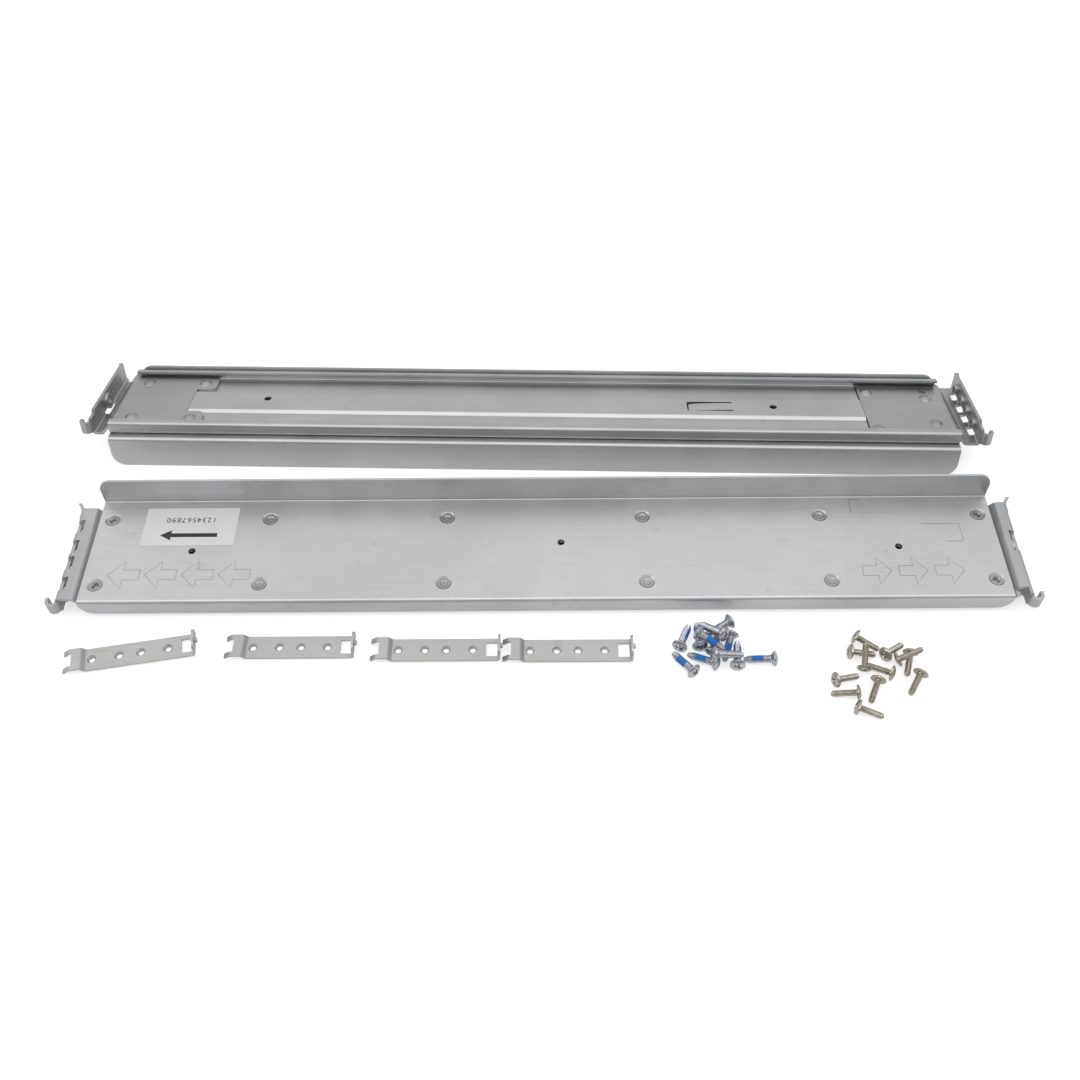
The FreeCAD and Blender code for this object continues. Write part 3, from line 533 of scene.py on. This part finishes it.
for index in range(4):
    stamped_line_painted_shade("front_arrow_%d" % (index + 1), arrow_points((14.5 + 22.6 * index, 58.6), 19.5, 20.5, 7.5, 9.5))
for index in range(3):
    mirrored = [(2 * 508 - x, y) for x, y in arrow_points((477.5 + 22.2 * index, 59.0), 17.5, 20.0, 7.5, 8.5)]
    stamped_line_painted_shade("rear_arrow_%d" % (index + 1), mirrored)
CORNER_MARKS = [[(484.2, 2.8), (476.9, 2.8), (476.9, 12.8)], [(519, 22.8), (543, 22.8), (543, 36.6), (532, 36.6)]]
for index, points in enumerate(CORNER_MARKS, 1):
    stamped_line_painted_shade("corner_mark_%d" % index, points, closed=False)

# %% [markdown]
# ## Screws
# Two kinds lie in heaps. The plated ones have an oval countersunk head and a blue nylon patch that
# keeps them from shaking loose. The nickel ones have a low truss head. CAD keeps them as smooth
# pins at their true places, so each pin is measured here: the long axis of its points is the axis
# of the screw, and the wider end is its head. A detailed screw is then laid over each pin.
#
# A thread is one long helical groove. Instead of sweeping it, rings of points are stacked along the
# axis and the radius of each point follows its angle, so that the groove climbs one pitch a turn.

# %% Find every screw in its heap


def loose_parts(mesh):
    """Groups of points that belong together."""
    shape = bmesh.new()
    shape.from_mesh(mesh)
    bmesh.ops.remove_doubles(shape, verts=shape.verts, dist=1e-6)
    left = set(shape.verts)
    groups = []
    while left:
        open_ends = [left.pop()]
        group = []
        while open_ends:
            vert = open_ends.pop()
            group.append(vert.co.copy())
            for edge in vert.link_edges:
                other = edge.other_vert(vert)
                if other in left:
                    left.remove(other)
                    open_ends.append(other)
        groups.append(group)
    shape.free()
    return groups


def screw_axis(points):
    """Top of the head, direction of the shank and length, measured from the points of a pin."""
    cloud = np.array([tuple(p) for p in points])
    middle = cloud.mean(axis=0)
    axis = np.linalg.eigh(np.cov((cloud - middle).T))[1][:, -1]
    for _ in range(3):
        along = (cloud - middle) @ axis
        off = np.linalg.norm((cloud - middle) - np.outer(along, axis), axis=1)
        if along[off.argmax()] > 0:
            axis = -axis
            along = -along
        head = cloud[along < along.min() + 4.0 * MM].mean(axis=0)
        tip = cloud[along > along.max() - 0.1 * MM].mean(axis=0)
        axis = (tip - head) / np.linalg.norm(tip - head)
        middle = head
    along = (cloud - middle) @ axis
    top = middle + axis * along.min()
    return Vector(top), Vector(axis), float(along.max() - along.min())


heaps = {}
for node in ("patch_screws", "truss_screws"):
    heaps[node] = [screw_axis(points) for points in loose_parts(nodes[node].data)]
    print(node, len(heaps[node]), "lengths (mm):", [round(length / MM, 1) for _, _, length in heaps[node]])

# %% A screw with thread and recess
AROUND = 28
PITCH = 0.79 * MM
THREAD_DEPTH = 0.34 * MM


def ring_stack(rings):
    """A closed mesh from rings; a ring is (distance, function of the angle that gives the radius)."""
    shape = bmesh.new()
    rows = []
    for along, radius in rings:
        row = []
        for k in range(AROUND):
            angle = 2 * math.pi * k / AROUND
            r = radius(angle)
            row.append(shape.verts.new((r * math.cos(angle), r * math.sin(angle), along)))
        rows.append(row)
    for low, high in zip(rows, rows[1:]):
        for k in range(AROUND):
            shape.faces.new((low[k], high[k], high[(k + 1) % AROUND], low[(k + 1) % AROUND]))
    shape.faces.new(rows[0])
    shape.faces.new(rows[-1][::-1])
    bmesh.ops.recalc_face_normals(shape, faces=shape.faces)
    return shape


def thread_rings(start, end, radius, point_from, point_radius):
    """Rings of the threaded part; past point_from the screw narrows to point_radius."""
    rings = []
    steps = int((end - start) / (PITCH / 5))
    for i in range(steps + 1):
        along = start + (end - start) * i / steps
        share = max(0.0, (along - point_from) / (end - point_from))
        outer = radius + (point_radius - radius) * share
        fade = min(1.0, (along - start) / PITCH)

        def groove(angle, along=along, outer=outer, fade=fade):
            turn = (along / PITCH - angle / (2 * math.pi)) % 1.0
            return outer - THREAD_DEPTH * fade * (1 - abs(2 * turn - 1))
        rings.append((along, groove))
    return rings


def cross_cutter(size, width, depth, shrink):
    """Cross shaped plug that narrows downwards, a little proud of the head."""
    shape = bmesh.new()
    rows = []
    for along, factor in ((-0.6 * MM, 1.1), (depth, shrink)):
        a, b = size / 2 * factor, width / 2 * (0.6 + 0.4 * factor)
        outline = [(a, b), (b, b), (b, a), (-b, a), (-b, b), (-a, b), (-a, -b), (-b, -b), (-b, -a), (b, -a),
                   (b, -b), (a, -b)]
        rows.append([shape.verts.new((x, y, along)) for x, y in outline])
    count = len(rows[0])
    for k in range(count):
        shape.faces.new((rows[0][k], rows[0][(k + 1) % count], rows[1][(k + 1) % count], rows[1][k]))
    shape.faces.new(rows[0][::-1])
    shape.faces.new(rows[1])
    bmesh.ops.recalc_face_normals(shape, faces=shape.faces)
    return shape


def mesh_from(shape, name):
    mesh = bpy.data.meshes.new(name)
    shape.to_mesh(mesh)
    shape.free()
    return mesh


def screw_mesh(name, head, thread, recess, material):
    """head is a list of (distance, radius); the recess is cut out with a boolean modifier."""
    rings = [(along, lambda angle, r=r: r) for along, r in head]
    body = bpy.data.objects.new(name + "_body", mesh_from(ring_stack(rings + thread), name + "_body"))
    plug = bpy.data.objects.new(name + "_plug", mesh_from(cross_cutter(*recess), name + "_plug"))
    for holder in (body, plug):
        bpy.context.scene.collection.objects.link(holder)
    cut = body.modifiers.new("recess", "BOOLEAN")
    cut.operation = "DIFFERENCE"
    cut.solver = "EXACT"
    cut.object = plug
    bpy.context.view_layer.update()
    mesh = bpy.data.meshes.new_from_object(body.evaluated_get(bpy.context.evaluated_depsgraph_get()))
    mesh.name = name
    for holder in (body, plug):
        bpy.data.objects.remove(holder)
    mesh.materials.clear()
    mesh.materials.append(MATERIALS[material])
    mesh.shade_smooth()
    mesh.set_sharp_from_angle(angle=math.radians(32))
    print(name, "faces:", len(mesh.polygons))
    return mesh


# %% [markdown]
# The plated screws are bluish zinc with the nylon patch sprayed on one side of the thread, so the
# patch is a mask in the material: a stretch of the length, a part of the way round, and a noisy
# edge. Nylon isn't metal, so the mask drives the metallic value as well as the colour.

# %% Screw finishes


def screw_metal(name, dark, light, patch=None):
    material = bpy.data.materials.new(name)
    tree = Tree(material)
    place = tree.add("TexCoord").outputs["Object"]
    cloud = tree.noise(place, 300, 3, 0.6)
    speck = tree.noise(place, 2400, 2, 0.6)
    colour = tree.ramp(cloud, [(0.35, dark), (0.65, light)])
    colour = tree.mix(1.0, colour, tree.ramp(speck, [(0.3, grey(0.86)), (0.6, grey(1.0))]), "MULTIPLY")
    rough = tree.math("MULTIPLY_ADD", cloud, 0.14, 0.17)
    metallic = 1.0
    if patch:
        parts = tree.add("SeparateXYZ", {"Vector": place}).outputs
        ragged = tree.math("MULTIPLY_ADD", tree.noise(place, 700, 3, 0.6), 1.6 * MM, -0.8 * MM)
        along = tree.math("ADD", parts["Z"], ragged)
        start, end = patch
        inside = tree.math("MULTIPLY", tree.graded(along, (start, start + 0.3 * MM), (0, 1)),
                           tree.graded(along, (end, end + 0.3 * MM), (1, 0)))
        side = tree.graded(tree.math("ADD", parts["X"], tree.math("MULTIPLY", ragged, 0.5)),
                           (0.1 * MM, 0.5 * MM), (0, 1))
        mask = tree.math("MULTIPLY", inside, side, clamp=True)
        nylon = tree.ramp(speck, [(0.3, (0.015, 0.14, 0.47)), (0.7, (0.03, 0.22, 0.62))])
        colour = tree.mix(mask, colour, nylon)
        metallic = tree.math("SUBTRACT", 1.0, mask)
        rough = tree.math("MULTIPLY_ADD", mask, 0.28, rough)
    bump = tree.add("Bump", {"Strength": 0.12, "Distance": 0.00004, "Height": speck})
    inputs = {"Base Color": colour, "Roughness": rough, "Metallic": metallic, "Normal": bump.outputs[0]}
    shader = tree.add("BsdfPrincipled", inputs)
    tree.add("OutputMaterial", {"Surface": shader.outputs[0]})
    MATERIALS[name] = material


screw_metal("blue_zinc", (0.47, 0.48, 0.51), (0.64, 0.66, 0.70), patch=(8.2 * MM, 14.8 * MM))
screw_metal("warm_nickel", (0.47, 0.43, 0.37), (0.62, 0.58, 0.51))

# %% Lay the screws over their pins
patch_head = [(0.0, 0.6 * MM), (0.17 * MM, 1.9 * MM), (0.6 * MM, 3.3 * MM), (1.2 * MM, 4.25 * MM),
              (1.65 * MM, 4.68 * MM), (1.85 * MM, 4.72 * MM), (2.05 * MM, 4.68 * MM), (4.15 * MM, 2.42 * MM)]
patch_thread = thread_rings(4.3 * MM, 19.95 * MM, 2.35 * MM, 16.8 * MM, 1.3 * MM)
patch_mesh = screw_mesh("patch_screw", patch_head, patch_thread, (5.6 * MM, 1.0 * MM, 1.9 * MM, 0.35), "blue_zinc")
truss_head = [(0.0, 0.6 * MM), (0.12 * MM, 1.9 * MM), (0.6 * MM, 3.5 * MM), (1.2 * MM, 4.35 * MM),
              (1.85 * MM, 4.66 * MM), (2.1 * MM, 4.6 * MM), (2.2 * MM, 4.4 * MM), (2.2 * MM, 1.94 * MM)]
truss_thread = thread_rings(2.25 * MM, 16.95 * MM, 1.95 * MM, 15.6 * MM, 1.3 * MM)
truss_mesh = screw_mesh("truss_screw", truss_head, truss_thread, (5.0 * MM, 0.9 * MM, 1.6 * MM, 0.35), "warm_nickel")


def lay_screws(node, mesh):
    for index, (top, axis, _) in enumerate(heaps[node], 1):
        side = Vector((0, 0, 1)) - axis * axis.z
        side.normalize()
        spin = Matrix.Rotation(math.radians(-62 + 83 * (index * 5 % 4)), 4, "Z")
        turn = Matrix((side, axis.cross(side), axis)).transposed().to_4x4()
        piece = bpy.data.objects.new("%s_%02d" % (mesh.name, index), mesh)
        piece.matrix_world = Matrix.Translation(top) @ turn @ spin
        bpy.context.scene.collection.objects.link(piece)
        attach(piece, bodies[node])
        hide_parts(node)
    print(node, "laid:", len(heaps[node]))


lay_screws("patch_screws", patch_mesh)
lay_screws("truss_screws", truss_mesh)
